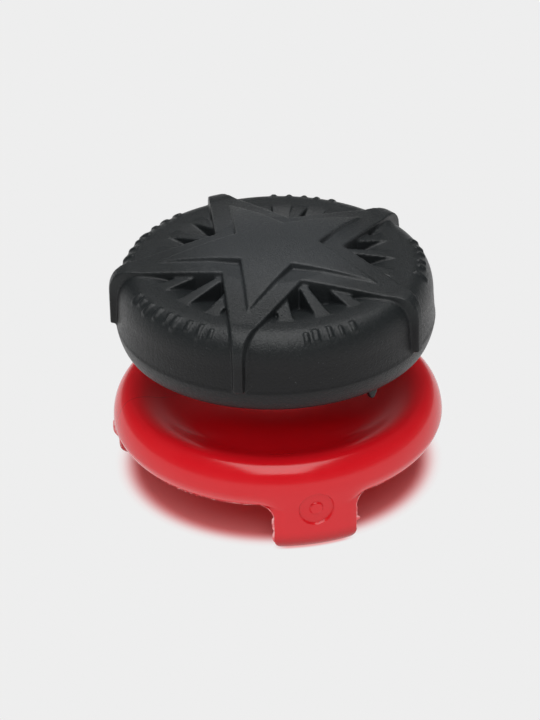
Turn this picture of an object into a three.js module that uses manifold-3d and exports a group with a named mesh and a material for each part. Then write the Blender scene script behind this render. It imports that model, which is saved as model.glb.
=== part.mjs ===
// Thumb grip for a game controller: a hard plastic clip base, and a soft rubber cap moulded round
// the disc at its top. Millimetres, +Z up. The three clip feet stand at z = 0, the origin is on
// the axis of the neck, and the front clip, which has the round mark, points along -Y.
// Azimuths are in degrees, from -Y towards +X.
import * as THREE from "three";
import { mergeVertices } from "three/addons/utils/BufferGeometryUtils.js";
import Module from "manifold-3d";

const wasm = await Module();
wasm.setup();

// Facets of a full turn, and steps of a quarter curve
const turnFacets = 60;
const curveSteps = 4;

// Clips: three tongues that hang from the skirt and hook under the head of a stick
const clipAzimuths = [0, 125, -125];
const clipWidth = 5.8;
const clipDrop = 3.48; // from the skirt's lower edge down to the feet
const clipFaceInset = 0.1; // outer face inside the rim's widest line
const clipCornerFillet = 0.8; // where a clip's side runs into the skirt's edge
const footRound = 1.0; // outer lower edge of a foot
const footCorner = 0.8; // lower corners of a clip, seen from outside
const hookReach = 0.5; // how far the hook stands in from the socket's wall
const hookHeight = 0.7;
const hookLead = 0.45; // height and width of the sloped lead-in below the hook

// Round mark on the front clip: a shallow recess with a plain pip in it
const markRadius = 1.2;
const markCentre = 3.25; // above the feet
const markDepth = 0.16;
const pipRadius = 0.45;
const pipHeight = 0.12;

// Socket for the stick's head, with the skirt and rim round it
const socketRadius = 9.5;
const socketDepth = 1.1; // from the skirt's lower edge up to the seat
const skirtWall = 1.35;
const rimOverhang = 0.65; // rim beyond the skirt's lower edge
const rimRise = 1.05; // from the skirt's lower edge to the widest line
const rimFullness = 1.5; // exponent of the curve under the rim: 2 is round, 1 is straight
const crestInset = 1.3; // from the widest line in to the crest
const crestRise = 2.07; // from the widest line up to the crest

// Dish inside the crest, and the neck that rises from it
const dishDepth = 0.9; // valley below the crest
const valleyInset = 3.1; // from the crest in to the valley's lowest line
const neckRadius = 4.6;
const neckFlare = 2.2; // height of the flare at the neck's foot
const neckFillet = 0.7; // under the disc
const neckBore = 3.2; // radius of the hollow that opens into the socket
const boreRoof = 1.5; // solid left above the hollow

// Disc at the top of the neck, which holds the rubber
const discRadius = 9.5;
const discThickness = 1.8;
const discClearance = 0.1; // between its edge and the rubber

// Rubber cap, from its lower edge up
const throatHeight = 4.19; // from the rim's crest to the cap's lower edge
const lipThickness = 0.81; // rubber under the disc
const lipWidth = 1.9; // how far the rubber reaches in under the disc
const capWall = 1.3; // rubber round the disc
const bandHeight = 1.52; // tapered band, up to the parting line
const bandTaper = 0.61;
const bandFullness = 1.4;
const partingStep = 0.23; // band beyond the drum's wall
const drumHeight = 1.6; // straight wall above the parting line
const shoulderWidth = 1.8;
const shoulderRise = 2.4;
const shoulderFullness = 2.4;
const pocketDepth = 1.25; // floor between the ribs, below the crest
const pocketFloorRadius = 4;
const pocketInset = 0.5; // where the floor starts to fall, inside the crest

// Ribs: spokes that run from under the star out to the cap's crest
const ribPitch = 18; // degrees
const ribRise = 0.7; // at its inner end, above the crest
const ribInnerRadius = 4;
const ribInnerWidth = 0.45;
const ribOuterWidth = 1.15;
const ribOuterInset = 0.2; // outer end inside the crest
const ribOuterDrop = 0.1; // its top there, below the crest

// Star: its arms run over the shoulder and down the wall as fins
const starArms = 5;
const starAzimuth = -26;
const starNotchRadius = 4.71;
const ledgeRise = 0.94; // flat middle of the star, above the crest
const ledgeEndRise = 0.3; // the same where an arm reaches the shoulder
const ledgeEndRadius = 9.3;
const ledgeTurn = 2.0; // height over which an arm turns down into its fin
const ledgeFullness = 2.8;
const finWidth = 0.42;
const finReach = 0.52; // fin beyond the drum's wall
const finFoot = 0.2; // lower end of a fin above the parting line

// Crown: a smaller star raised on the first one, which sinks towards the ends of its arms
const crownNotchRadius = 3.05;
const crownRise = 1.59; // at the middle, above the crest
const crownFall = 0.0162; // how fast its top falls away with the square of the radius

// Gate stub: a small moulding remnant under the band
const stubAzimuth = 27;
const stubWidth = 1.1;
const stubTip = 0.24;
const stubDrop = 0.85;
const stubThickness = 0.5;
const stubInset = 0.35; // behind the band's lower edge
const stubRoot = 0.3; // how deep it sits in the band

// Heights and radii that follow from the sizes above
const skirtRadius = socketRadius + skirtWall;
const rimRadius = skirtRadius + rimOverhang;
const rimHeight = clipDrop + rimRise;
const clipFaceRadius = rimRadius - clipFaceInset;
const crestRadius = rimRadius - crestInset;
const crestHeight = rimHeight + crestRise;
const seatHeight = clipDrop + socketDepth;
const hookRadius = socketRadius - hookReach;
const hookTop = hookLead + hookHeight;
const valleyRadius = crestRadius - valleyInset;
const valleyHeight = crestHeight - dishDepth;
const capBase = crestHeight + throatHeight;
const discBase = capBase + lipThickness;
const discTop = discBase + discThickness;
const pocketRadius = discRadius + discClearance;
const lipRadius = discRadius - lipWidth;
const drumRadius = pocketRadius + capWall;
const bandRadius = drumRadius + partingStep;
const bandBaseRadius = bandRadius - bandTaper;
const partingHeight = capBase + bandHeight;
const drumTop = partingHeight + drumHeight;
const capCrestRadius = drumRadius - shoulderWidth;
const capCrest = drumTop + shoulderRise;
const pocketFloor = capCrest - pocketDepth;
const finRadius = drumRadius + finReach;
const finBase = partingHeight + finFoot;

const clipBaseColour = 0xca252d;
const rubberCapColour = 0x323335;

const radians = THREE.MathUtils.degToRad;
const between = THREE.MathUtils.lerp;

// A solid from a closed geometry: shared corners are merged, collapsed triangles are left out
function solidOf(geometry) {
  const bare = geometry.clone();
  bare.deleteAttribute("normal");
  bare.deleteAttribute("uv");
  const merged = mergeVertices(bare, 1e-5);
  const index = merged.index.array;
  const triVerts = [];
  for (let corner = 0; corner < index.length; corner += 3) {
    const [a, b, c] = index.slice(corner, corner + 3);
    if (a !== b && b !== c && c !== a) {
      triVerts.push(a, b, c);
    }
  }
  const vertProperties = new Float32Array(merged.attributes.position.array);
  return new wasm.Manifold(new wasm.Mesh({
    numProp: 3,
    vertProperties,
    triVerts: new Uint32Array(triVerts),
  }));
}

function geometryOf(solid) {
  const mesh = solid.getMesh();
  const geometry = new THREE.BufferGeometry();
  const positions = new Float32Array(mesh.vertProperties);
  geometry.setAttribute("position", new THREE.BufferAttribute(positions, 3));
  geometry.setIndex(new THREE.BufferAttribute(new Uint32Array(mesh.triVerts), 1));
  geometry.computeVertexNormals();
  return geometry;
}

// A solid turned about Z. Its outline of [radius, height] points runs from the lower end on the
// axis to the upper end on the axis, or closes on itself, with the material on its left.
function turned(outline) {
  const points = outline.map(([radius, height]) => new THREE.Vector2(radius, height));
  const geometry = new THREE.LatheGeometry(points, turnFacets);
  geometry.rotateX(Math.PI / 2);
  return solidOf(geometry);
}

// A flat anticlockwise outline of [x, y] points, and the same as a solid between two heights
function extruded(outline, depth) {
  const shape = new THREE.Shape(outline.map(([x, y]) => new THREE.Vector2(x, y)));
  return new THREE.ExtrudeGeometry(shape, { depth, bevelEnabled: false });
}

function upright(outline, low, high) {
  return solidOf(extruded(outline, high - low).translate(0, 0, low));
}

// An outline of [across, height] points seen from outside, facing an azimuth, as a solid
// between two distances from the axis. Its sides are parallel, or they run towards the axis if
// the distance is given where the outline has its own width.
function facing(azimuth, outline, near, far, drawnAt = Infinity) {
  const geometry = extruded(outline, far - near);
  geometry.translate(0, 0, near);
  if (drawnAt < Infinity) {
    const corners = geometry.attributes.position;
    for (let corner = 0; corner < corners.count; corner += 1) {
      corners.setX(corner, corners.getX(corner) * corners.getZ(corner) / drawnAt);
    }
  }
  geometry.rotateX(Math.PI / 2);
  geometry.rotateZ(radians(azimuth));
  return solidOf(geometry);
}

function joined(solids) {
  return solids.reduce((whole, solid) => whole.add(solid));
}

// A quarter of an ellipse, or of a fuller or flatter curve, between two points. It leaves the
// first point upright and reaches the second one level.
function quarterCurve([sideX, sideY], [levelX, levelY], fullness = 2) {
  return Array.from({ length: curveSteps + 1 }, (_, step) => {
    const angle = radians(90 * step / curveSteps);
    return [
      between(levelX, sideX, Math.abs(Math.cos(angle)) ** (2 / fullness)),
      between(sideY, levelY, Math.sin(angle) ** (2 / fullness)),
    ];
  });
}

// A smooth slope between two points, level at both ends
function easedCurve([fromX, fromY], [toX, toY]) {
  return Array.from({ length: curveSteps + 1 }, (_, step) => {
    const share = step / curveSteps;
    const eased = (1 - Math.cos(Math.PI * share)) / 2;
    return [between(fromX, toX, share), between(fromY, toY, eased)];
  });
}

// Clip base

// Skirt, rim, dish, hollow neck and disc, turned in one
function baseBody() {
  return turned([
    [0, discTop - boreRoof],
    [neckBore, discTop - boreRoof],
    [neckBore, seatHeight],
    [socketRadius, seatHeight],
    [socketRadius, clipDrop],
    ...quarterCurve([rimRadius, rimHeight], [skirtRadius, clipDrop], rimFullness).reverse(),
    ...quarterCurve([rimRadius, rimHeight], [crestRadius, crestHeight]).slice(1),
    ...easedCurve([crestRadius, crestHeight], [valleyRadius, valleyHeight]).slice(1),
    ...quarterCurve([neckRadius, valleyHeight + neckFlare], [valleyRadius, valleyHeight])
      .reverse().slice(1),
    ...quarterCurve([neckRadius, discBase - neckFillet], [neckRadius + neckFillet, discBase]),
    [discRadius, discBase],
    [discRadius, discTop],
    [0, discTop],
  ]);
}

// The ring that the clips are cut from, with the rounded foot outside and the hook inside
function clipRing() {
  const footInner = hookRadius + hookLead;
  return turned([
    [footInner, 0],
    ...quarterCurve([clipFaceRadius, footRound], [clipFaceRadius - footRound, 0]).reverse(),
    [clipFaceRadius, rimHeight],
    [socketRadius, rimHeight],
    [socketRadius, hookTop + hookReach],
    [hookRadius, hookTop],
    [hookRadius, hookLead],
    [footInner, 0],
  ]);
}

// One clip seen from outside, with a fillet where each side runs into the skirt's edge
function clipOutline() {
  const side = clipWidth / 2;
  const rightSide = [
    ...quarterCurve([side, footCorner], [side - footCorner, 0]).reverse(),
    ...quarterCurve([side, clipDrop - clipCornerFillet], [side + clipCornerFillet, clipDrop]),
    [side + clipCornerFillet, rimHeight],
  ];
  const leftSide = rightSide.map(([across, height]) => [-across, height]).reverse();
  return [...rightSide, ...leftSide];
}

function clips() {
  const outlines = clipAzimuths.map((azimuth) => (
    facing(azimuth, clipOutline(), neckRadius, rimRadius + clipWidth, clipFaceRadius)
  ));
  return clipRing().intersect(joined(outlines));
}

// The recess of the round mark, with its pip left standing
function frontMark() {
  const disc = (radius, near, far) => {
    const geometry = new THREE.CylinderGeometry(radius, radius, far - near, turnFacets / 3);
    return solidOf(geometry.translate(0, -(near + far) / 2, markCentre));
  };
  const floor = clipFaceRadius - markDepth;
  const recess = disc(markRadius, floor, rimRadius + markRadius);
  return recess.subtract(disc(pipRadius, floor - markDepth, floor + pipHeight));
}

function clipBase() {
  return baseBody().add(clips()).subtract(frontMark());
}

// Rubber cap

// Band, drum and shoulder, with the dished floor between the ribs
function capBody() {
  return turned([
    [0, capBase],
    ...quarterCurve([bandRadius, partingHeight], [bandBaseRadius, capBase], bandFullness).reverse(),
    [drumRadius, partingHeight],
    ...quarterCurve([drumRadius, drumTop], [capCrestRadius, capCrest], shoulderFullness),
    ...easedCurve([capCrestRadius - pocketInset, capCrest], [pocketFloorRadius, pocketFloor]),
    [0, pocketFloor],
  ]);
}

// Outline of a regular star whose edges run straight from arm to arm, from the radius of its notches
function starOutline(notchRadius) {
  const halfPitch = radians(180 / starArms);
  const tipRadius = notchRadius * Math.cos(halfPitch) / Math.cos(2 * halfPitch);
  return Array.from({ length: 2 * starArms }, (_, corner) => {
    const radius = corner % 2 ? notchRadius : tipRadius;
    const azimuth = radians(starAzimuth + 180 * corner / starArms);
    return [radius * Math.sin(azimuth), -radius * Math.cos(azimuth)];
  });
}

// The star with its arms and fins, under the slope that its top follows
function star() {
  const ledge = capCrest + ledgeRise;
  const ledgeEnd = capCrest + ledgeEndRise;
  const slope = turned([
    [0, finBase],
    [finRadius, finBase],
    ...quarterCurve([finRadius, ledgeEnd - ledgeTurn], [ledgeEndRadius, ledgeEnd], ledgeFullness),
    [starNotchRadius, ledge],
    [0, ledge],
  ]);
  const finSide = finWidth / 2;
  const finPlan = [[-finSide, finBase], [finSide, finBase], [finSide, ledge], [-finSide, ledge]];
  const fins = Array.from({ length: starArms }, (_, arm) => (
    facing(starAzimuth + 360 * arm / starArms, finPlan, 0, finRadius)
  ));
  const plan = upright(starOutline(starNotchRadius), finBase, ledge);
  return slope.intersect(joined([plan, ...fins]));
}

function crown() {
  const top = Array.from({ length: curveSteps + 1 }, (_, step) => {
    const radius = ledgeEndRadius * (1 - step / curveSteps);
    return [radius, capCrest + crownRise - crownFall * radius ** 2];
  });
  const slope = turned([[0, pocketFloor], [ledgeEndRadius, pocketFloor], ...top]);
  const plan = upright(starOutline(crownNotchRadius), pocketFloor, capCrest + crownRise);
  return slope.intersect(plan);
}

// Spokes at an even pitch, wider towards the crest, left out where an arm of the star runs
function ribs() {
  const outerRadius = capCrestRadius - ribOuterInset;
  const slope = turned([
    [0, discTop],
    [outerRadius, discTop],
    [outerRadius, capCrest - ribOuterDrop],
    [ribInnerRadius, capCrest + ribRise],
    [0, capCrest + ribRise],
  ]);
  const inner = ribInnerWidth / 2;
  const outer = ribOuterWidth / 2;
  const spoke = [
    [-inner, -ribInnerRadius],
    [-outer, -outerRadius],
    [outer, -outerRadius],
    [inner, -ribInnerRadius],
  ];
  const armPitch = 360 / starArms;
  const plans = [];
  for (let arm = 0; arm < starArms; arm += 1) {
    for (let away = ribPitch; away < armPitch; away += ribPitch) {
      const plan = upright(spoke, discTop, capCrest + ribRise);
      plans.push(plan.rotate([0, 0, starAzimuth + armPitch * arm + away]));
    }
  }
  return slope.intersect(joined(plans));
}

function gateStub() {
  const side = stubWidth / 2;
  const tip = stubTip / 2;
  const outline = [
    [-side, capBase],
    [-tip, capBase - stubDrop],
    [tip, capBase - stubDrop],
    [side, capBase],
    [side, capBase + stubRoot],
    [-side, capBase + stubRoot],
  ];
  const outside = bandBaseRadius - stubInset;
  return facing(stubAzimuth, outline, outside - stubThickness, outside);
}

// The space inside the rubber that the disc and the neck take
function discPocket() {
  return turned([
    [0, capBase - stubDrop],
    [lipRadius, capBase - stubDrop],
    [lipRadius, discBase],
    [pocketRadius, discBase],
    [pocketRadius, discTop],
    [0, discTop],
  ]);
}

function rubberCap() {
  return joined([capBody(), star(), crown(), ribs(), gateStub()]).subtract(discPocket());
}

function piece(name, solid, color, roughness) {
  const material = new THREE.MeshStandardMaterial({ color, roughness, metalness: 0 });
  const mesh = new THREE.Mesh(geometryOf(solid), material);
  mesh.name = name;
  return mesh;
}

const thumbGrip = new THREE.Group();
thumbGrip.add(piece("clip_base", clipBase(), clipBaseColour, 0.3));
thumbGrip.add(piece("rubber_cap", rubberCap(), rubberCapColour, 0.75));

export default thumbGrip;
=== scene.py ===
import math
import random

import bmesh
import bpy
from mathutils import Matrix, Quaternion, Vector, noise


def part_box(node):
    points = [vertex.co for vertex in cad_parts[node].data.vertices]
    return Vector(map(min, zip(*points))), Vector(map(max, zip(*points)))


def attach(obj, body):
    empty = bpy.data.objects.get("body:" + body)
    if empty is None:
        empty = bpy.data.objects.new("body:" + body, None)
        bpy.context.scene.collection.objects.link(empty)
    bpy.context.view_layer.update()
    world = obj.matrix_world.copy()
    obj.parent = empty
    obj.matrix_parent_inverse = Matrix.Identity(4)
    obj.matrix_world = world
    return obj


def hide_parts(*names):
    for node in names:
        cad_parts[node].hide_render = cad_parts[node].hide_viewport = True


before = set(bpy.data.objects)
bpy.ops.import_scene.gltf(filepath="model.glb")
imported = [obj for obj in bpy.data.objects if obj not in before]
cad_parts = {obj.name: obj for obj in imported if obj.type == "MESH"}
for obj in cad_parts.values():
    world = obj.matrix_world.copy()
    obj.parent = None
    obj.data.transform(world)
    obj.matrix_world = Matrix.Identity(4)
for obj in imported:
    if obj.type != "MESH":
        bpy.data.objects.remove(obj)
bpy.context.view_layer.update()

# Pieces are shaped with 1 unit as 1 mm, and shrunk to metres when they are finished.
# Azimuths are in degrees, from -Y towards +X.
mm = 0.001
mergeGap = 0.0004  # vertices closer than this are one
baseHigh = Vector(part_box("clip_base")[1]) / mm
capLow, capHigh = (Vector(corner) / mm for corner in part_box("rubber_cap"))
clipAzimuths = (0, 125, -125)


# Shaping helpers

def deselectAll():
    if bpy.context.object and bpy.context.object.mode != "OBJECT":
        bpy.ops.object.mode_set(mode="OBJECT")
    bpy.ops.object.select_all(action="DESELECT")


def pick(*pieces):
    deselectAll()
    for piece in pieces:
        piece.select_set(True)
    bpy.context.view_layer.objects.active = pieces[0]


def startEditing(piece, mode):
    pick(piece)
    bpy.ops.object.mode_set(mode="EDIT")
    bpy.ops.mesh.select_mode(type=mode)


def stopEditing():
    bpy.ops.object.mode_set(mode="OBJECT")


def selectWhere(piece, kind, test):  # kind is verts, edges or faces
    mesh = bmesh.from_edit_mesh(piece.data)
    bpy.ops.mesh.select_all(action="DESELECT")
    for item in getattr(mesh, kind):
        if test(item):
            item.select_set(True)
    mesh.select_flush_mode()
    bmesh.update_edit_mesh(piece.data)


def quarterCurve(side, level, fullness, steps):  # leaves side upright, reaches level flat
    points = []
    for step in range(steps + 1):
        angle = math.pi / 2 * step / steps
        across = max(math.cos(angle), 0) ** (2 / fullness)
        along = math.sin(angle) ** (2 / fullness)
        points.append((
            level[0] + (side[0] - level[0]) * across,
            side[1] + (level[1] - side[1]) * along,
        ))
    return points


def easedCurve(start, end, steps):  # a smooth slope, level at both ends
    points = []
    for step in range(steps + 1):
        share = step / steps
        eased = (1 - math.cos(math.pi * share)) / 2
        points.append((start[0] + (end[0] - start[0]) * share, start[1] + (end[1] - start[1]) * eased))
    return points


def smoothStep(value):
    share = min(max(value, 0), 1)
    return share * share * (3 - 2 * share)


# An outline of (radius, height) points, extruded point by point from one vertex and spun about Z
def turnedPiece(name, outline, turnSteps):
    deselectAll()
    bpy.ops.mesh.primitive_plane_add(size=1, location=(0, 0, 0))
    piece = bpy.context.object
    piece.name = name
    startEditing(piece, "VERT")
    bpy.ops.mesh.select_all(action="SELECT")
    bpy.ops.mesh.merge(type="CENTER")
    bpy.ops.transform.translate(value=(0, -outline[0][0], outline[0][1]))
    for here, there in zip(outline, outline[1:]):
        step = (0, here[0] - there[0], there[1] - here[1])
        bpy.ops.mesh.extrude_region_move(TRANSFORM_OT_translate={"value": step})
    bpy.ops.mesh.select_all(action="SELECT")
    bpy.ops.mesh.spin(steps=turnSteps, angle=2 * math.pi, center=(0, 0, 0), axis=(0, 0, 1))
    bpy.ops.mesh.select_all(action="SELECT")
    bpy.ops.mesh.remove_doubles(threshold=mergeGap)
    bpy.ops.mesh.normals_make_consistent(inside=False)
    stopEditing()
    return piece


# A block that faces azimuth 0, from near to far from the axis
def radialBlock(name, width, near, far, low, high):
    deselectAll()
    bpy.ops.mesh.primitive_cube_add(
        size=1,
        location=(0, -(near + far) / 2, (low + high) / 2),
        scale=(width, far - near, high - low),
    )
    block = bpy.context.object
    block.name = name
    bpy.ops.object.transform_apply(location=True, rotation=True, scale=True)
    return block


def turnTo(piece, azimuth):
    pick(piece)
    piece.rotation_euler.z = math.radians(azimuth)
    bpy.ops.object.transform_apply(location=False, rotation=True, scale=False)


def copiesAt(piece, azimuths):  # the piece itself goes to the first azimuth
    copies = []
    for azimuth in azimuths[1:]:
        pick(piece)
        bpy.ops.object.duplicate(linked=False)
        copies.append(bpy.context.object)
        turnTo(copies[-1], azimuth)
    turnTo(piece, azimuths[0])
    return [piece] + copies


def joinAll(pieces):
    if len(pieces) > 1:
        pick(*pieces)
        bpy.ops.object.join()
    return pieces[0]


def applyModifier(piece, kind, **settings):
    pick(piece)
    modifier = piece.modifiers.new(kind.title(), kind)
    for name, value in settings.items():
        setattr(modifier, name, value)
    bpy.ops.object.modifier_apply(modifier=modifier.name)


def combine(piece, tool, operation, solver="EXACT"):
    applyModifier(piece, "BOOLEAN", operation=operation, object=tool, solver=solver)
    bpy.data.objects.remove(tool)


def finishPiece(piece, node, smoothAngle):
    pick(piece)
    piece.scale = (mm, mm, mm)
    bpy.ops.object.transform_apply(location=True, rotation=True, scale=True)
    bpy.ops.object.shade_smooth_by_angle(angle=math.radians(smoothAngle), keep_sharp_edges=False)
    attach(piece, "root")
    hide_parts(node)
    print(piece.name, "has", sum(len(face.vertices) - 2 for face in piece.data.polygons), "triangles")


# Shader maths: a wrapped socket that adds its own Math nodes

class Signal:
    def __init__(self, socket):
        self.socket = socket

    def maths(self, operation, *others):
        finish = Finish(self.socket.id_data)
        node = finish.node("Math", {"operation": operation}, dict(enumerate((self,) + others)))
        return Signal(node.outputs[0])

    def __add__(self, other):
        return self.maths("ADD", other)

    def __sub__(self, other):
        return self.maths("SUBTRACT", other)

    def __mul__(self, other):
        return self.maths("MULTIPLY", other)

    def __rsub__(self, other):
        return self * -1 + other

    def __abs__(self):
        return self.maths("ABSOLUTE")

    __radd__ = __add__


class Finish:
    def __init__(self, tree):
        self.tree = tree

    # Settings are set first, then the sockets get their values or links
    def node(self, kind, settings=None, sockets=None):
        node = self.tree.nodes.new("ShaderNode" + kind)
        for name, value in (settings or {}).items():
            setattr(node, name, value)
        for name, value in (sockets or {}).items():
            if isinstance(value, Signal):
                self.tree.links.new(value.socket, node.inputs[name])
            else:
                node.inputs[name].default_value = value
        return node

    def between(self, value, low, high, fromValue=0, toValue=1):  # a smooth step
        node = self.node(
            "MapRange",
            {"interpolation_type": "SMOOTHSTEP"},
            {"Value": value, "From Min": low, "From Max": high, "To Min": fromValue, "To Max": toValue},
        )
        return Signal(node.outputs["Result"])

    def noise(self, place, scale, detail=2, roughness=0.5):  # scale is in waves to a millimetre
        node = self.node("TexNoise", {}, {
            "Vector": place, "Scale": scale, "Detail": detail, "Roughness": roughness,
        })
        return Signal(node.outputs["Fac"])

    def mixColour(self, share, first, second):
        node = self.node("Mix", {"data_type": "RGBA"}, {0: share, 6: first, 7: second})
        return Signal(node.outputs[2])

    def placeInMm(self):  # the place on the piece, and its x, y and z
        place = Signal(self.node("TexCoord").outputs["Object"])
        scaled = self.node("VectorMath", {"operation": "SCALE"}, {"Vector": place, "Scale": 1 / mm})
        place = Signal(scaled.outputs["Vector"])
        parts = self.node("SeparateXYZ", {}, {"Vector": place})
        return place, [Signal(output) for output in parts.outputs]


def newFinish(name):
    material = bpy.data.materials.new(name)
    material.use_nodes = True
    material.node_tree.nodes.clear()
    return material, Finish(material.node_tree)


def colour(red, green, blue):  # from the 0 to 255 that a picture shows, to linear light
    def linear(level):
        level /= 255
        return level / 12.92 if level <= 0.04045 else ((level + 0.055) / 1.055) ** 2.4
    return (linear(red), linear(green), linear(blue), 1)


# Stage: the camera stands where the photograph's camera stood

stageValues = {
    "azimuth": -12.6,
    "elevation": 31.93,
    "roll": -1.27,
    "distance": 0.2616,  # from the part's origin, in metres
    "picturePixels": (540, 720),
    "focalPixels": 3697,
    "originPixel": (279.0, 463.6),  # where the part's origin is in the picture
    "sensorWidth": 36,
    "viewStart": 0.01,  # metres from the camera, nearer than anything in the scene
    "floorSize": 3,
    "floorColour": (232, 229, 229),
    "floorRoughness": 0.9,
    "floorTint": (238, 150, 150),  # red light from the base, close to it
    "tintReach": (9.8, 13.4),  # millimetres over which that fades out
    "backdrop": 0.855,  # brightness of the pale ground, and of the world behind it
    "groundLight": 1.12,  # what the ground casts on the part
    "shadowReach": (9.6, 11.2),  # where the shadow on the floor fades out
    "shadowCentre": (0.17, 0.78),  # its middle, and that of the tint and the glow
    "glowColour": (243, 108, 110),  # red light on the pale ground round the shadow
    "glowReach": (9.3, 11.7),
    "footGlow": (10.75, 11.15, 1.8, 3.0),  # the same in front of a clip, outwards and to each side
    "footGlowShare": 0.7,  # and how strong it is there
    "paleWall": 0.22,  # what shiny surfaces see just above the floor
    "darkRoom": 0.06,  # and overhead
    "wallTop": 0.45,  # where the one has faded into the other, as the sine of the elevation
    "worldLight": 0.22,  # what the world casts on the part
    "softboxSize": (0.45, 1.25),
    "softboxDistance": 0.6,
    "softboxLean": 7,  # from straight above towards the camera
    "softboxPower": 5.7,
    "fillAzimuth": -105,  # a weak light from the left, which no shiny surface mirrors
    "fillLean": 62,
    "fillDistance": 0.5,
    "fillSize": (0.3, 0.3),
    "fillPower": 0.2,
}


def makeCamera():
    azimuth = math.radians(stageValues["azimuth"])
    elevation = math.radians(stageValues["elevation"])
    back = Vector((
        math.sin(azimuth) * math.cos(elevation),
        -math.cos(azimuth) * math.cos(elevation),
        math.sin(elevation),
    ))
    lookAtOrigin = back.to_track_quat("Z", "Y")
    roll = Quaternion((0, 0, 1), math.radians(stageValues["roll"]))
    across, down = stageValues["originPixel"]
    width, height = stageValues["picturePixels"]
    focal = stageValues["focalPixels"]
    towardsOrigin = Vector(((across - width / 2) / focal, (height / 2 - down) / focal, -1))
    aim = towardsOrigin.rotation_difference(Vector((0, 0, -1)))
    deselectAll()
    bpy.ops.object.camera_add(location=back * stageValues["distance"])
    camera = bpy.context.object
    camera.name = "camera"
    camera.rotation_mode = "QUATERNION"
    camera.rotation_quaternion = lookAtOrigin @ roll @ aim
    camera.data.sensor_width = stageValues["sensorWidth"]
    camera.data.lens = stageValues["sensorWidth"] * focal / max(width, height)
    camera.data.clip_start = stageValues["viewStart"]
    bpy.context.scene.camera = camera


def makeLamp(name, azimuth, lean, distance, size, power, mirrored=True):
    turn = math.radians(azimuth)
    tilt = math.radians(lean)
    towards = Vector((math.sin(turn) * math.sin(tilt), -math.cos(turn) * math.sin(tilt), math.cos(tilt)))
    deselectAll()
    bpy.ops.object.light_add(type="AREA", location=towards * distance)
    lamp = bpy.context.object
    lamp.name = name
    lamp.rotation_mode = "QUATERNION"
    lamp.rotation_quaternion = towards.to_track_quat("Z", "Y")
    lamp.data.shape = "RECTANGLE"
    lamp.data.size, lamp.data.size_y = size
    lamp.data.energy = power
    lamp.visible_glossy = mirrored


# A lit floor inside the shadow, and outside it a ground that is evenly bright, with red light at their edge
def makeFloor():
    deselectAll()
    bpy.ops.mesh.primitive_plane_add(size=stageValues["floorSize"], location=(0, 0, 0))
    floor = bpy.context.object
    floor.name = "floor"
    material, finish = newFinish("paleFloor")
    place, parts = finish.placeInMm()
    centre = (*stageValues["shadowCentre"], 0)
    away = finish.node("VectorMath", {"operation": "DISTANCE"}, {0: place, 1: centre})
    away = Signal(away.outputs["Value"])
    x, y = parts[:2]
    flat = Signal(finish.node("CombineXYZ", {}, {0: x, 1: y}).outputs[0])
    radius = Signal(finish.node("VectorMath", {"operation": "LENGTH"}, {0: flat}).outputs["Value"])
    nearFoot = 0
    outFrom, outTo, sideFrom, sideTo = stageValues["footGlow"]
    for azimuth in clipAzimuths:
        turn = math.radians(azimuth)
        along = x * math.sin(turn) - y * math.cos(turn)
        across = x * math.cos(turn) + y * math.sin(turn)
        beside = finish.between(abs(across), sideFrom, sideTo, 1, 0)
        nearFoot += finish.between(along, 0, outFrom) * beside
    tint = finish.between(away, *stageValues["tintReach"])
    nearFoot = nearFoot * finish.between(radius, outFrom, outTo, stageValues["footGlowShare"], 0)
    glow = (1 - finish.between(away, *stageValues["glowReach"])).maths("MAXIMUM", nearFoot)
    lit = finish.node("BsdfPrincipled", {}, {
        "Base Color": finish.mixColour(
            tint, colour(*stageValues["floorTint"]), colour(*stageValues["floorColour"])),
        "Roughness": stageValues["floorRoughness"],
        "Specular IOR Level": 0,
    })
    path = finish.node("LightPath")
    seen = Signal(path.outputs["Is Camera Ray"]).maths("MAXIMUM", Signal(path.outputs["Is Glossy Ray"]))
    cast = stageValues["groundLight"]
    bright = finish.node("Emission", {}, {
        "Color": finish.mixColour(glow, (1, 1, 1, 1), colour(*stageValues["glowColour"])),
        "Strength": cast + seen * (stageValues["backdrop"] - cast),
    })
    blend = finish.node("MixShader", {}, {
        0: finish.between(away, *stageValues["shadowReach"]),
        1: Signal(lit.outputs["BSDF"]),
        2: Signal(bright.outputs["Emission"]),
    })
    finish.node("OutputMaterial", {}, {"Surface": Signal(blend.outputs["Shader"])})
    floor.data.materials.append(material)


def makeWorld():
    world = bpy.data.worlds.new("studio")
    world.use_nodes = True
    world.node_tree.nodes.clear()
    finish = Finish(world.node_tree)
    path = finish.node("LightPath")
    seen = Signal(path.outputs["Is Camera Ray"])
    mirrored = Signal(path.outputs["Is Glossy Ray"])
    direction = Signal(finish.node("TexCoord").outputs["Generated"])
    upwards = Signal(finish.node("SeparateXYZ", {}, {0: direction}).outputs["Z"])
    room = finish.between(
        upwards, 0, stageValues["wallTop"], stageValues["paleWall"], stageValues["darkRoom"])
    plain = stageValues["worldLight"]
    strength = plain + mirrored * (room - plain) + seen * (stageValues["backdrop"] - plain)
    sky = finish.node("Background", {}, {"Color": (1, 1, 1, 1), "Strength": strength})
    finish.node("OutputWorld", {}, {"Surface": Signal(sky.outputs["Background"])})
    bpy.context.scene.world = world


makeCamera()
makeFloor()
makeWorld()
makeLamp(
    "softbox", stageValues["azimuth"], stageValues["softboxLean"],
    stageValues["softboxDistance"], stageValues["softboxSize"], stageValues["softboxPower"],
)
makeLamp(
    "fill", stageValues["fillAzimuth"], stageValues["fillLean"],
    stageValues["fillDistance"], stageValues["fillSize"], stageValues["fillPower"], False,
)
bpy.context.scene.view_settings.view_transform = "Standard"
print("stage done")


# Clip base: one turned body, whose skirt has three clips extruded down from its lower edge

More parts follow.
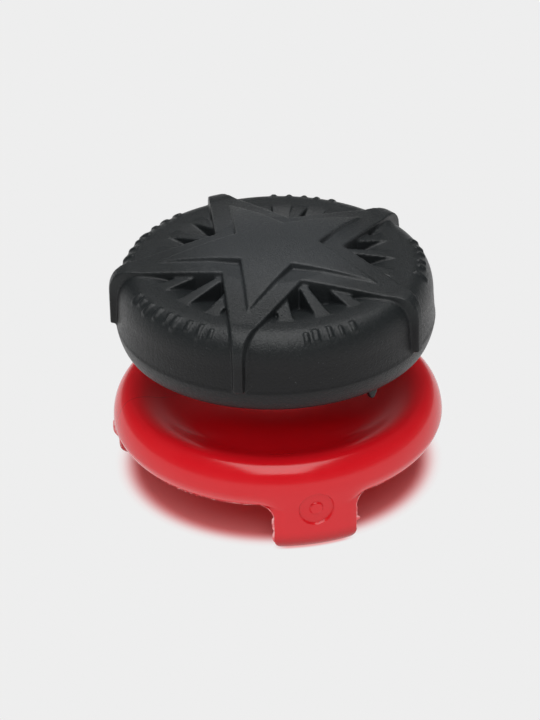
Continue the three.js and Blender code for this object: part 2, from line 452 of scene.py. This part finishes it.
baseValues = {
    "turnSteps": 144,  # a whole number of steps from clip to clip
    "socketRadius": 9.5,
    "seatHeight": 4.58,
    "skirtRadius": 10.85,
    "skirtEdge": 3.48,
    "rimHeight": 4.53,
    "rimFullness": 1.5,
    "crestRadius": 10.2,
    "crestHeight": 6.6,
    "valleyRadius": 7.1,
    "valleyHeight": 5.7,
    "neckRadius": 4.6,
    "neckFlare": 2.2,
    "neckFillet": 0.7,
    "boreRadius": 3.2,
    "boreRoof": 1.5,
    "discRadius": 9.5,
    "discThickness": 1.8,
    "clipColumns": 8,  # on each side of a clip's middle
    "clipHalfWidth": 2.9,
    "clipFace": 11.4,
    "faceBend": 3.0,  # height where the face starts to run out into the rim
    "faceColumns": 3,  # columns over which the face comes out of the skirt, from each side
    "clipFillet": 0.7,  # height over which a clip's side runs into the skirt's edge
    "filletTurns": (75, 60, 48, 36, 24, 12, 0),  # degrees round it, with a ring of vertices at each
    "clipFlare": 0.88,  # how far the skirt's edge is drawn out there
    "clipEdgeRound": 0.12,
    "clipEdgeBow": 0.29,  # how much of that is left one column further in
    "wallLevels": (2.4, 2.0),  # heights of the rings between the fillet and the hook
    "footRound": 1.0,
    "footTurns": (0, 12, 24, 36, 48, 60, 72, 82, 90),
    "footCorner": 0.8,
    "hookRadius": 9.0,
    "hookLead": 0.45,
    "hookTop": 1.15,
    "hookEase": 0.5,  # height over which the hook runs back into the socket's wall
    "markCentre": 3.25,
    "markRadius": 1.2,
    "markDepth": 0.16,
    "pipRadius": 0.45,
    "pipHeight": 0.12,
    "markEdge": 0.09,  # width of the mark's soft edges
    "markMargins": (0.2, 0.4),  # how far the finer mesh goes beyond the mark, to each side and below
    "markCuts": 7,
    "reds": ((214, 19, 30), (219, 22, 33)),  # the plastic is cloudy between the two
    "cloudScale": 0.35,
    "fineScale": 3.0,
    # painted shade: the red darkens towards the clips' feet, standing in for the floor's shadow beside them
    "footShadeRed": (150, 5, 10),
    "footShadeTop": 1.6,
    "seamStart": (-11.5, 0.1),  # a hairline on the rim's left side, which runs in and back
    "seamSlope": 0.36,
    "seamWobble": 0.08,
    "seamWidth": (0.01, 0.05),
    "seamLow": (4.7, 4.9),  # heights over which it fades in
    "seamEnd": (-7.6, -6.8),  # where it fades out, along X
    "seamRed": (120, 12, 18),
    "seamShare": 0.55,
    "bumpStrength": 0.25,
    "bumpDistance": 0.02,
    "fineBump": 0.12,
    "roughness": (0.17, 0.22),
    "ior": 1.5,
}


def rimUnderside():
    side = (baseHigh.x, baseValues["rimHeight"])
    level = (baseValues["skirtRadius"], baseValues["skirtEdge"])
    return quarterCurve(side, level, baseValues["rimFullness"], 14)[::-1]


def baseOutline():
    values = baseValues
    top = baseHigh.z
    discBase = top - values["discThickness"]
    edge = values["skirtEdge"]
    wall = values["skirtRadius"] - values["socketRadius"]
    crest = (values["crestRadius"], values["crestHeight"])
    valley = (values["valleyRadius"], values["valleyHeight"])
    neck = values["neckRadius"]
    fillet = values["neckFillet"]
    return [
        (0, top - values["boreRoof"]),
        (values["boreRadius"], top - values["boreRoof"]),
        (values["boreRadius"], values["seatHeight"]),
        (values["socketRadius"], values["seatHeight"]),
        (values["socketRadius"], edge),
        (values["socketRadius"] + wall / 3, edge),
        (values["socketRadius"] + wall * 2 / 3, edge),
        *rimUnderside(),
        *quarterCurve((baseHigh.x, values["rimHeight"]), crest, 2, 24)[1:],
        *easedCurve(crest, valley, 16)[1:],
        *quarterCurve((neck, valley[1] + values["neckFlare"]), valley, 2, 14)[::-1][1:],
        *quarterCurve((neck, discBase - fillet), (neck + fillet, discBase), 2, 8),
        (values["discRadius"], discBase),
        (values["discRadius"], top),
        (0, top),
    ]


def roundLevels(turns, radius):
    return [radius * (1 - math.sin(math.radians(turn))) for turn in turns]


def clipLevels():
    values = baseValues
    hook = values["hookTop"]
    ease = values["hookEase"]
    drops = roundLevels(values["filletTurns"], values["clipFillet"])
    fillet = [values["skirtEdge"] - drop for drop in drops]
    wall = [*values["wallLevels"], hook + ease, hook + ease / 2, hook]
    return fillet + wall + roundLevels(values["footTurns"], values["footRound"])


def nearestClip(place):  # the azimuth of the nearest clip, and how far round from it the place is
    azimuth = math.degrees(math.atan2(place.x, -place.y))
    clip = min(clipAzimuths, key=lambda middle: abs(azimuth - middle))
    return clip, azimuth - clip


def clipFaceRadius(height):  # the clip's face runs smoothly up into the rim's widest line
    values = baseValues
    share = smoothStep((height - values["faceBend"]) / (values["rimHeight"] - values["faceBend"]))
    return values["clipFace"] + (baseHigh.x - values["clipFace"]) * share


def clipHalfWidth(height):
    values = baseValues
    top = values["skirtEdge"] - values["clipFillet"]
    if height > top:
        share = max(min((height - top) / values["clipFillet"], 1), 0)
        return values["clipHalfWidth"] + values["clipFlare"] * (1 - math.sqrt(1 - share ** 2))
    if height < values["footCorner"]:
        share = 1 - height / values["footCorner"]
        return values["clipHalfWidth"] - values["footCorner"] * (1 - math.sqrt(max(1 - share ** 2, 0)))
    return values["clipHalfWidth"]


def hookProfile(height):
    values = baseValues
    if height > values["hookTop"]:
        share = min((height - values["hookTop"]) / values["hookEase"], 1)
        return values["hookRadius"] + (values["socketRadius"] - values["hookRadius"]) * share
    if height < values["hookLead"]:
        return values["hookRadius"] + values["hookLead"] - height
    return values["hookRadius"]


def clipDrop(width):  # 0 where the clip leaves the skirt's edge, 1 where its sides are straight
    return min(1 - (width - baseValues["clipHalfWidth"]) / baseValues["clipFlare"], 1)


def evenTurn(columns, width):  # degrees from the clip's middle, in even steps like the skirt's
    values = baseValues
    return columns * 360 / values["turnSteps"] * width / (values["clipHalfWidth"] + values["clipFlare"])


def straightTurn(across, width):  # the same for a place on the clip's straight part
    values = baseValues
    return math.degrees(math.asin(across / values["clipFace"])) * width / values["clipHalfWidth"]


# Moves a vertex of the plain extruded wall to its place on the clip: first the face above the edge,
# then the face, the hook, the rounded corners and the sides below it
def shapeClip(vert):
    values = baseValues
    clip, away = nearestClip(vert.co)
    column = round(away * values["turnSteps"] / 360)
    height = vert.co.z
    radius = vert.co.xy.length
    columns = values["clipColumns"]
    edge = values["skirtEdge"]
    side = abs(column)
    if side > columns or height > values["rimHeight"] or radius < values["hookRadius"]:
        return
    flow = smoothStep((columns - side) / values["faceColumns"])
    if height > edge - mergeGap:
        if radius > values["skirtRadius"] - mergeGap:
            vert.co.xy *= 1 + flow * (clipFaceRadius(height) / radius - 1)
        return
    width = clipHalfWidth(height)
    drop = clipDrop(width)
    share = (radius - values["socketRadius"]) / (values["skirtRadius"] - values["socketRadius"])
    face = clipFaceRadius(height)
    if height < values["footRound"]:
        lift = 1 - height / values["footRound"]
        face -= values["footRound"] * (1 - math.sqrt(max(1 - lift ** 2, 0)))
    face = values["skirtRadius"] + (face - values["skirtRadius"]) * max(flow, drop)
    inner = hookProfile(height)
    rounding = values["clipEdgeRound"]
    bow = rounding * values["clipEdgeBow"]
    if share > 0.99:  # on the outer face
        face -= {columns: rounding, columns - 1: bow}.get(side, 0) * drop
    wanted = inner + (face - inner) * share
    corner = {columns: 0, columns - 1: bow, columns - 2: rounding}
    across = (values["clipHalfWidth"] - rounding) * side / (columns - 2)
    if side in corner:
        across = values["clipHalfWidth"] - corner[side]
    away = evenTurn(side, width) * (1 - drop) + straightTurn(across, width) * drop
    turn = math.radians(clip + math.copysign(away, column))
    vert.co = (wanted * math.sin(turn), -wanted * math.cos(turn), height)


def growClips(piece):
    values = baseValues
    edge = values["skirtEdge"]

    def underClip(face):
        middle = face.calc_center_median()
        away = nearestClip(middle)[1]
        onEdge = abs(middle.z - edge) < mergeGap and face.normal.z < -0.9
        return onEdge and abs(away) < 360 / values["turnSteps"] * values["clipColumns"]

    startEditing(piece, "FACE")
    selectWhere(piece, "faces", underClip)
    level = edge
    for lower in clipLevels():  # a plain wall first, which shapeClip then moves into shape
        bpy.ops.mesh.extrude_region_move(TRANSFORM_OT_translate={"value": (0, 0, lower - level)})
        level = lower
    mesh = bmesh.from_edit_mesh(piece.data)
    for vert in mesh.verts:
        shapeClip(vert)
    bmesh.update_edit_mesh(piece.data)
    bpy.ops.mesh.select_all(action="SELECT")
    bpy.ops.mesh.normals_make_consistent(inside=False)
    stopEditing()


# The round mark: the clip's face is made finer there, and its vertices are pushed in
def pressMark(piece):
    values = baseValues
    beside, below = values["markMargins"]
    low = values["markCentre"] - values["markRadius"] - below
    high = values["rimHeight"]

    def nearMark(face):
        middle = face.calc_center_median()
        outside = middle.y < -values["skirtRadius"] + 0.1 and face.normal.y < -0.5
        near = abs(middle.x) < values["markRadius"] + beside
        return outside and near and low < middle.z < high

    startEditing(piece, "FACE")
    selectWhere(piece, "faces", nearMark)
    bpy.ops.mesh.subdivide(number_cuts=values["markCuts"])
    mesh = bmesh.from_edit_mesh(piece.data)
    for vert in mesh.verts:
        if not vert.select:
            continue
        radius = clipFaceRadius(vert.co.z)
        away = math.hypot(vert.co.x, vert.co.z - values["markCentre"])
        recess = 1 - smoothStep((away - values["markRadius"]) / values["markEdge"] + 0.5)
        pip = 1 - smoothStep((away - values["pipRadius"]) / values["markEdge"] + 0.5)
        depth = values["markDepth"] * recess - values["pipHeight"] * pip
        vert.co.y = -math.sqrt(radius ** 2 - vert.co.x ** 2) + depth
    bmesh.update_edit_mesh(piece.data)
    stopEditing()


def redPlastic():
    values = baseValues
    material, finish = newFinish("glossyRedPlastic")
    place, (x, y, z) = finish.placeInMm()
    cloudy = finish.noise(place, values["cloudScale"], 2)
    fine = finish.noise(place, values["fineScale"], 3)
    startX, startY = values["seamStart"]
    offSeam = y - startY - (x - startX) * values["seamSlope"] + (fine - 0.5) * values["seamWobble"]
    seam = 1 - finish.between(abs(offSeam), *values["seamWidth"])
    seam = seam * finish.between(z, *values["seamLow"]) * finish.between(x, *values["seamEnd"], 1, 0)
    # painted shade: a darker red near the floor
    low = finish.between(z, 0, values["footShadeTop"], 1, 0)
    first, second = values["reds"]
    base = finish.mixColour(cloudy, colour(*first), colour(*second))
    base = finish.mixColour(low, base, colour(*values["footShadeRed"]))
    base = finish.mixColour(seam * values["seamShare"], base, colour(*values["seamRed"]))
    bump = finish.node("Bump", {}, {
        "Strength": values["bumpStrength"],
        "Distance": values["bumpDistance"] * mm,
        "Height": seam * -1 + fine * values["fineBump"],
    })
    shader = finish.node("BsdfPrincipled", {}, {
        "Base Color": base,
        "Roughness": finish.between(cloudy, 0.3, 0.7, *values["roughness"]),
        "IOR": values["ior"],
        "Normal": Signal(bump.outputs["Normal"]),
    })
    finish.node("OutputMaterial", {}, {"Surface": Signal(shader.outputs["BSDF"])})
    return material


# Flash: the ragged film left by moulding along the skirt's edge and down the sides of the clips

flashValues = {
    "step": 0.07,  # along the edge
    "root": 0.05,  # how deep it sits in the plastic
    "thickness": 0.035,
    "least": 0.03,  # how far it always reaches
    "waves": (1.1, 4.5),  # slow and quick ones, to a millimetre
    "waveHeight": 0.9,
    "waveLimits": (0, 1.3),
    "skirtAim": (0.5, -0.85),  # outwards, and down
    "skirtEnds": 12,  # steps over which it grows to its full reach at each end
    "clipEnds": 6,
    "clipStart": 0.75,  # height where it starts on a clip's side
    "sidewaysLoss": 0.8,  # how much less it aims sideways when it aims outwards
    "nubPower": 4,
    "skirtRuns": (  # from one azimuth to another, how far it reaches, and how ragged it is
        (-105, -84, 0.05, 0.6),
        (-84, -62, 0.03, 0.8),
        (-62, -20, 0.09, 1.0),
        (20, 66, 0.05, 0.6),
        (66, 80, 0.28, 1.0),
        (80, 105, 0.07, 0.5),
        (145, 180, 0.08, 0.6),
        (180, 215, 0.10, 0.7),
    ),
    "clipSides": (  # a clip, its side, reach, raggedness, and how far outwards rather than sideways
        (0, -1, 0.09, 1.0, 0.15),
        (0, 1, 0.07, 1.0, 0.15),
        (125, -1, 0.07, 0.8, 0.3),
        (125, 1, 0.07, 0.8, 0.3),
        (-125, -1, 0.07, 0.8, 0.3),
        (-125, 1, 0.08, 0.25, 1.0),
    ),
    "nubs": (  # a clip, its side, height, reach and spread
        (0, 1, 1.75, 0.22, 0.13),
        (0, -1, 1.2, 0.08, 0.3),
        (0, -1, 2.3, 0.05, 0.35),
        (-125, 1, 2.6, 0.42, 0.88),
    ),
    "pinks": ((226, 92, 96), (244, 178, 178)),
    "patchScale": 2.2,
    "patchEdge": (0.4, 0.62),
    "roughness": (0.3, 0.45),
}


def clipEdge(height):  # azimuth from the clip's middle, and radius, of a clip's outer corner
    values = baseValues
    width = clipHalfWidth(height)
    drop = clipDrop(width)
    evenly = evenTurn(values["clipColumns"], width)
    straight = straightTurn(values["clipHalfWidth"], width)
    radius = values["skirtRadius"] + (values["clipFace"] - values["skirtRadius"]) * drop
    return evenly * (1 - drop) + straight * drop, radius - values["clipEdgeRound"] * drop


def atAzimuth(azimuth, radius, height):
    turn = math.radians(azimuth)
    return Vector((radius * math.sin(turn), -radius * math.cos(turn), height))


def raggedness(along, seed, ragged):  # about 0.5, and 0 where the film is broken back
    slowWaves, quickWaves = flashValues["waves"]
    least, most = flashValues["waveLimits"]
    slow = noise.noise(Vector((along * slowWaves, seed, 0))) * flashValues["waveHeight"]
    quick = noise.noise(Vector((along * quickWaves, seed, 9))) * flashValues["waveHeight"]
    return min(max(0.5 + ragged * (slow + quick), least), most)


# A film along a path of (root, direction, reach): a chain of vertices, extruded once and drawn out
def filmAlong(name, path):
    deselectAll()
    bpy.ops.mesh.primitive_plane_add(size=1, location=(0, 0, 0))
    film = bpy.context.object
    film.name = name
    startEditing(film, "VERT")
    bpy.ops.mesh.select_all(action="SELECT")
    bpy.ops.mesh.merge(type="CENTER")
    bpy.ops.transform.translate(value=path[0][0])
    for here, there in zip(path, path[1:]):
        bpy.ops.mesh.extrude_region_move(TRANSFORM_OT_translate={"value": there[0] - here[0]})
    bpy.ops.mesh.select_all(action="SELECT")
    bpy.ops.mesh.extrude_region_move(TRANSFORM_OT_translate={"value": (0, 0, 0)})
    mesh = bmesh.from_edit_mesh(film.data)
    mesh.verts.ensure_lookup_table()
    for (root, direction, reach), vert in zip(path, mesh.verts[len(path):]):
        vert.co = root + direction * (flashValues["root"] + reach)
    bmesh.update_edit_mesh(film.data)
    bpy.ops.mesh.select_all(action="SELECT")
    bpy.ops.mesh.normals_make_consistent(inside=False)
    stopEditing()
    applyModifier(film, "SOLIDIFY", thickness=flashValues["thickness"], offset=0)
    return film


def skirtFilm(first, last, reach, ragged):
    values = baseValues
    turnStep = math.degrees(flashValues["step"] / values["skirtRadius"])
    count = round((last - first) / turnStep)
    rise = flashValues["skirtEnds"]
    path = []
    for step in range(count + 1):
        azimuth = first + (last - first) * step / count
        direction = atAzimuth(azimuth, *flashValues["skirtAim"]).normalized()
        ends = min(step, count - step, rise) / rise
        length = flashValues["least"] + reach * raggedness(step * flashValues["step"], first, ragged) * ends
        edge = atAzimuth(azimuth, values["skirtRadius"], values["skirtEdge"])
        path.append((edge - direction * flashValues["root"], direction, length))
    return filmAlong("skirtFlash", path)


def clipFilm(clip, side, reach, ragged, outward):
    low = flashValues["clipStart"]
    high = baseValues["skirtEdge"] - 0.01
    count = round((high - low) / flashValues["step"])
    rise = flashValues["clipEnds"]
    path = []
    for step in range(count + 1):
        height = low + (high - low) * step / count
        away, radius = clipEdge(height)
        azimuth = clip + side * away
        outwards = atAzimuth(azimuth, 1, 0)
        sideways = atAzimuth(azimuth + side * 90, 1, 0)
        aside = 1 - outward * flashValues["sidewaysLoss"]
        direction = (outwards * outward + sideways * aside).normalized()
        ends = min(step, count - step, rise) / rise
        length = flashValues["least"] + reach * raggedness(height, clip * 3 + side, ragged) * ends
        for nubClip, nubSide, middle, nubReach, spread in flashValues["nubs"]:
            if (nubClip, nubSide) == (clip, side):
                length += nubReach * math.exp(-((height - middle) / spread) ** flashValues["nubPower"])
        corner = atAzimuth(azimuth, radius, height)
        path.append((corner - direction * flashValues["root"], direction, length))
    return filmAlong("clipFlash", path)


def palePinkFlash():
    material, finish = newFinish("palePinkFlash")
    place = finish.placeInMm()[0]
    patchy = finish.between(finish.noise(place, flashValues["patchScale"], 2), *flashValues["patchEdge"])
    darker, paler = flashValues["pinks"]
    shader = finish.node("BsdfPrincipled", {}, {
        "Base Color": finish.mixColour(patchy, colour(*darker), colour(*paler)),
        "Roughness": finish.between(patchy, 0, 1, *flashValues["roughness"]),
    })
    finish.node("OutputMaterial", {}, {"Surface": Signal(shader.outputs["BSDF"])})
    return material


clipBase = turnedPiece("clipBase", baseOutline(), baseValues["turnSteps"])
growClips(clipBase)
pressMark(clipBase)
clipBase.data.materials.append(redPlastic())
print("clip base done")
flashFilms = [skirtFilm(*run) for run in flashValues["skirtRuns"]]
flashFilms += [clipFilm(*run) for run in flashValues["clipSides"]]
mouldFlash = joinAll(flashFilms)
mouldFlash.name = "mouldFlash"
mouldFlash.data.materials.append(palePinkFlash())
print("flash done")


# Rubber cap: a turned body with its star, crown, spokes, grip bars and stub, made one by a remesh

capValues = {
    "turnSteps": 120,
    "bandBase": 10.79,
    "bandBaseRadius": 10.52,
    "bandRadius": 11.04,
    "bandFullness": 1.4,
    "partingHeight": 12.31,
    "drumFootRadius": 11.0,
    "drumRadius": 10.9,
    "drumTop": 13.91,
    "crestRadius": 9.1,
    "crestHeight": 16.31,
    "shoulderFullness": 2.4,
    "pocketRadius": 4,
    "pocketEdge": 8.6,
    "pocketDepth": 1.25,
    "arms": 5,
    "starAzimuth": -26,
    "starNotch": 4.71,
    "ledgeRise": 0.94,
    "ledgeEndRise": 0.3,
    "ledgeEndRadius": 9.3,
    "ledgeTurn": 2.0,
    "ledgeFullness": 2.8,
    "finRadius": 11.42,
    "finWidth": 0.42,
    "finRoot": 7,
    "finFoot": 12.4,
    "finOverlap": 0.3,  # how far it runs up into the arm
    "crownNotch": 3.05,
    "crownFall": 0.0162,  # how fast its top falls away with the square of the radius
    "crownSteps": 16,
    "ribPitch": 18,
    "ribRoot": 0.5,  # how deep it stands in the cap
    "ribRise": 0.7,
    "ribInner": (4, 0.45),  # radius and width
    "ribOuter": (8.9, 1.15),
    "ribSink": 0.1,  # its outer end, below the crest
    "barRuns": (  # from one azimuth to another, and how many bars
        (-80, -38, 9),
        (-2, 18, 5),
        (68, 94, 6),
        (142, 168, 5),
        (210, 254, 8),
    ),
    "barSeed": 5,
    "barShift": 0.15,  # of the distance between two bars
    "barWidth": (0.22, 0.38),
    "barNear": (9.7, 9.95),
    "barFar": (10.42, 10.62),
    "barFoot": 0.2,  # above the top of the drum
    "barRise": 0.12,
    "stubAzimuth": 27,  # the stub that moulding left under the band
    "stubWidth": 1.3,
    "stubThickness": 0.5,
    "stubInset": 0.35,
    "stubRoot": 0.3,
    "stubTip": (0.25, 0.8),  # its width and thickness at the end, as shares
    "discPocket": (9.6, 11.6, 13.4),  # radius, lower and upper height
    "lipRadius": 7.6,
    "voxel": 0.075,
    "smoothing": 6,
    "smoothingFactor": 0.5,
    "triangles": 185000,
    "grainScale": 6.0,
    "grainRoughness": 0.65,
    "speckleScale": 22.0,
    "speckleShare": 0.4,
    "cloudScale": 0.5,
    "topBlacks": ((27, 30, 31), (32, 35, 36)),  # the top is cloudy between the two
    "middleBlack": (47, 50, 52),  # a lighter black towards the middle of the star
    "middleReach": (4, 60),  # squares of the radii over which that fades out
    # painted shade: the upright drum wall gets a darker black than the top
    "wallShadeBlack": (10, 10, 12),
    "wallShadeFade": 1.9,  # height over which the wall's painted shade runs into the top's black
    "dustScale": 13.0,
    "dustSpecks": (0.78, 0.86),  # the noise has to be above this for a speck
    "dustPatches": (0.45, 0.6),  # and so has the cloudy one
    "dustColour": (104, 108, 110),
    "dustShare": 0.4,
    "partingWaves": 0.8,
    "partingWobble": 0.06,
    "partingWidth": (0.02, 0.08),
    "partingBlack": (16, 17, 18),
    "partingShare": 0.12,
    "partingBump": 0.1,
    "bumpStrength": 0.8,
    "bumpDistance": 0.045,
    "roughness": (0.29, 0.45),
    "specular": 0.33,
}


def capBody():
    values = capValues
    parting = values["partingHeight"]
    crest = (values["crestRadius"], values["crestHeight"])
    floor = values["crestHeight"] - values["pocketDepth"]
    bandSide = (values["bandRadius"], parting)
    bandLow = (values["bandBaseRadius"], values["bandBase"])
    return turnedPiece("rubberCap", [
        (0, values["bandBase"]),
        *quarterCurve(bandSide, bandLow, values["bandFullness"], 10)[::-1],
        (values["drumFootRadius"], parting),
        *quarterCurve((values["drumRadius"], values["drumTop"]), crest, values["shoulderFullness"], 16),
        *easedCurve((values["pocketEdge"], crest[1]), (values["pocketRadius"], floor), 14),
        (0, floor),
    ], values["turnSteps"])


# A star whose edges run straight from arm to arm, made of a circle with every second corner drawn in
def starPrism(name, notchRadius, low, high):
    arms = capValues["arms"]
    halfPitch = math.radians(180 / arms)
    tipRadius = notchRadius * math.cos(halfPitch) / math.cos(2 * halfPitch)
    deselectAll()
    bpy.ops.mesh.primitive_circle_add(
        vertices=2 * arms, radius=tipRadius, fill_type="NGON",
        location=(0, 0, low), rotation=(0, 0, math.radians(capValues["starAzimuth"] - 180)),
    )
    star = bpy.context.object
    star.name = name
    startEditing(star, "VERT")
    selectWhere(star, "verts", lambda vert: vert.index % 2)
    shrink = notchRadius / tipRadius
    bpy.ops.transform.resize(value=(shrink, shrink, 1), center_override=(0, 0, low))
    bpy.ops.mesh.select_mode(type="FACE")
    bpy.ops.mesh.select_all(action="SELECT")
    bpy.ops.mesh.extrude_region_move(TRANSFORM_OT_translate={"value": (0, 0, high - low)})
    bpy.ops.mesh.select_all(action="SELECT")
    bpy.ops.mesh.normals_make_consistent(inside=False)
    stopEditing()
    bpy.ops.object.transform_apply(location=True, rotation=True, scale=True)
    return star


def armAzimuths():
    return [capValues["starAzimuth"] + 360 * arm / capValues["arms"] for arm in range(capValues["arms"])]


def makeStar():
    values = capValues
    ledge = values["crestHeight"] + values["ledgeRise"]
    ledgeEnd = values["crestHeight"] + values["ledgeEndRise"]
    turn = (values["finRadius"], ledgeEnd - values["ledgeTurn"])  # where it turns down, outermost
    end = (values["ledgeEndRadius"], ledgeEnd)
    foot = values["finFoot"]
    star = starPrism("star", values["starNotch"], foot, ledge + 1)
    slope = turnedPiece("slope", [
        (0, foot),
        (values["finRadius"], foot),
        *quarterCurve(turn, end, values["ledgeFullness"], 12),
        (values["starNotch"], ledge),
        (0, ledge),
    ], values["turnSteps"])
    combine(star, slope, "INTERSECT")
    finTop = turn[1] + values["finOverlap"]
    fin = radialBlock("fin", values["finWidth"], values["finRoot"], values["finRadius"], foot, finTop)
    return [star] + copiesAt(fin, armAzimuths())


def makeCrown():
    values = capValues
    top = capHigh.z
    floor = values["crestHeight"] - values["pocketDepth"]
    crown = starPrism("crown", values["crownNotch"], floor, top + 1)
    reach = values["ledgeEndRadius"]
    radii = [reach * (1 - step / values["crownSteps"]) for step in range(values["crownSteps"] + 1)]
    slope = turnedPiece("crownSlope", [
        (0, floor),
        (reach, floor),
        *((radius, top - values["crownFall"] * radius ** 2) for radius in radii),
    ], values["turnSteps"])
    combine(crown, slope, "INTERSECT")
    return crown


# One spoke, its inner end narrower and higher, copied at an even pitch between the star's arms
def makeRibs():
    values = capValues
    innerRadius, innerWidth = values["ribInner"]
    outerRadius, outerWidth = values["ribOuter"]
    low = values["crestHeight"] - values["pocketDepth"] - values["ribRoot"]
    outerTop = values["crestHeight"] - values["ribSink"]
    rib = radialBlock("rib", outerWidth, innerRadius, outerRadius, low, outerTop)
    startEditing(rib, "VERT")
    selectWhere(rib, "verts", lambda vert: vert.co.y > -innerRadius - 0.1)
    bpy.ops.transform.resize(value=(innerWidth / outerWidth, 1, 1), center_override=(0, -innerRadius, low))
    selectWhere(rib, "verts", lambda vert: vert.co.y > -innerRadius - 0.1 and vert.co.z > low + 0.1)
    bpy.ops.transform.translate(value=(0, 0, values["ribRise"] + values["ribSink"]))
    stopEditing()
    steps = range(1, round(360 / values["arms"] / values["ribPitch"]))
    return copiesAt(rib, [arm + values["ribPitch"] * step for arm in armAzimuths() for step in steps])


def makeGripBars():
    values = capValues
    rise = values["barRise"]
    side = (values["drumRadius"] + rise, values["drumTop"])
    crest = (values["crestRadius"], values["crestHeight"] + rise)
    raised = turnedPiece("raisedShoulder", [
        (0, values["drumTop"]),
        *quarterCurve(side, crest, values["shoulderFullness"], 16),
        (0, crest[1]),
    ], values["turnSteps"])
    chance = random.Random(values["barSeed"])
    shift = values["barShift"]
    bars = []
    for first, last, count in values["barRuns"]:
        for step in range(count):
            bar = radialBlock(
                "bar", chance.uniform(*values["barWidth"]), chance.uniform(*values["barNear"]),
                chance.uniform(*values["barFar"]), values["drumTop"] + values["barFoot"], capHigh.z,
            )
            turnTo(bar, first + (last - first) * (step + chance.uniform(-shift, shift)) / (count - 1))
            bars.append(bar)
    bars = joinAll(bars)
    combine(bars, raised, "INTERSECT")
    return bars


def makeStub():
    values = capValues
    outside = values["bandBaseRadius"] - values["stubInset"]
    stub = radialBlock(
        "stub", values["stubWidth"], outside - values["stubThickness"], outside,
        capLow.z, values["bandBase"] + values["stubRoot"],
    )
    startEditing(stub, "VERT")
    selectWhere(stub, "verts", lambda vert: vert.co.z < capLow.z + 0.1)
    bpy.ops.transform.resize(value=(*values["stubTip"], 1), center_override=(0, -outside, capLow.z))
    stopEditing()
    turnTo(stub, values["stubAzimuth"])
    return stub


def cutDiscPocket(piece):
    values = capValues
    radius, low, high = values["discPocket"]
    below = values["bandBase"] - 2
    pocket = turnedPiece("pocket", [
        (0, below),
        (values["lipRadius"], below),
        (values["lipRadius"], low),
        (radius, low),
        (radius, high),
        (0, high),
    ], values["turnSteps"])
    combine(piece, pocket, "DIFFERENCE", "MANIFOLD")


def blackRubber():
    values = capValues
    material, finish = newFinish("matteBlackRubber")
    place, (x, y, z) = finish.placeInMm()
    grain = finish.noise(place, values["grainScale"], 3, values["grainRoughness"])
    speckle = finish.noise(place, values["speckleScale"], 2)
    cloudy = finish.noise(place, values["cloudScale"], 2)
    wobble = (finish.noise(place, values["partingWaves"], 2) - 0.5) * values["partingWobble"]
    parting = 1 - finish.between(abs(z + wobble - values["partingHeight"]), *values["partingWidth"])
    lighterMiddle = finish.between(x * x + y * y, *values["middleReach"], 1, 0)
    first, second = values["topBlacks"]
    top = finish.mixColour(cloudy, colour(*first), colour(*second))
    top = finish.mixColour(lighterMiddle, top, colour(*values["middleBlack"]))
    # painted shade on the upright wall, fading into the top's black above it
    wall = finish.between(z, values["drumTop"], values["drumTop"] + values["wallShadeFade"])
    base = finish.mixColour(wall, colour(*values["wallShadeBlack"]), top)
    dust = finish.between(finish.noise(place, values["dustScale"], 0), *values["dustSpecks"])
    dust = dust * finish.between(cloudy, *values["dustPatches"])
    base = finish.mixColour(dust * values["dustShare"], base, colour(*values["dustColour"]))
    base = finish.mixColour(parting * values["partingShare"], base, colour(*values["partingBlack"]))
    bump = finish.node("Bump", {}, {
        "Strength": values["bumpStrength"],
        "Distance": values["bumpDistance"] * mm,
        "Height": grain + speckle * values["speckleShare"] - parting * values["partingBump"],
    })
    shader = finish.node("BsdfPrincipled", {}, {
        "Base Color": base,
        "Roughness": finish.between(grain, 0.3, 0.7, *values["roughness"]),
        "Specular IOR Level": values["specular"],
        "Normal": Signal(bump.outputs["Normal"]),
    })
    finish.node("OutputMaterial", {}, {"Surface": Signal(shader.outputs["BSDF"])})
    return material


rubberCap = joinAll([capBody(), *makeStar(), makeCrown(), *makeRibs(), makeGripBars(), makeStub()])
print("rubber cap joined")
applyModifier(rubberCap, "REMESH", mode="VOXEL", voxel_size=capValues["voxel"], adaptivity=0)
applyModifier(rubberCap, "SMOOTH", factor=capValues["smoothingFactor"], iterations=capValues["smoothing"])
triangles = sum(len(face.vertices) - 2 for face in rubberCap.data.polygons)
print("rubber cap remeshed,", triangles, "triangles")
applyModifier(rubberCap, "DECIMATE", ratio=min(1, capValues["triangles"] / triangles))
cutDiscPocket(rubberCap)
rubberCap.data.materials.clear()
rubberCap.data.materials.append(blackRubber())
print("rubber cap done")


finishPiece(clipBase, "clip_base", 40)
finishPiece(mouldFlash, "clip_base", 60)
finishPiece(rubberCap, "rubber_cap", 60)
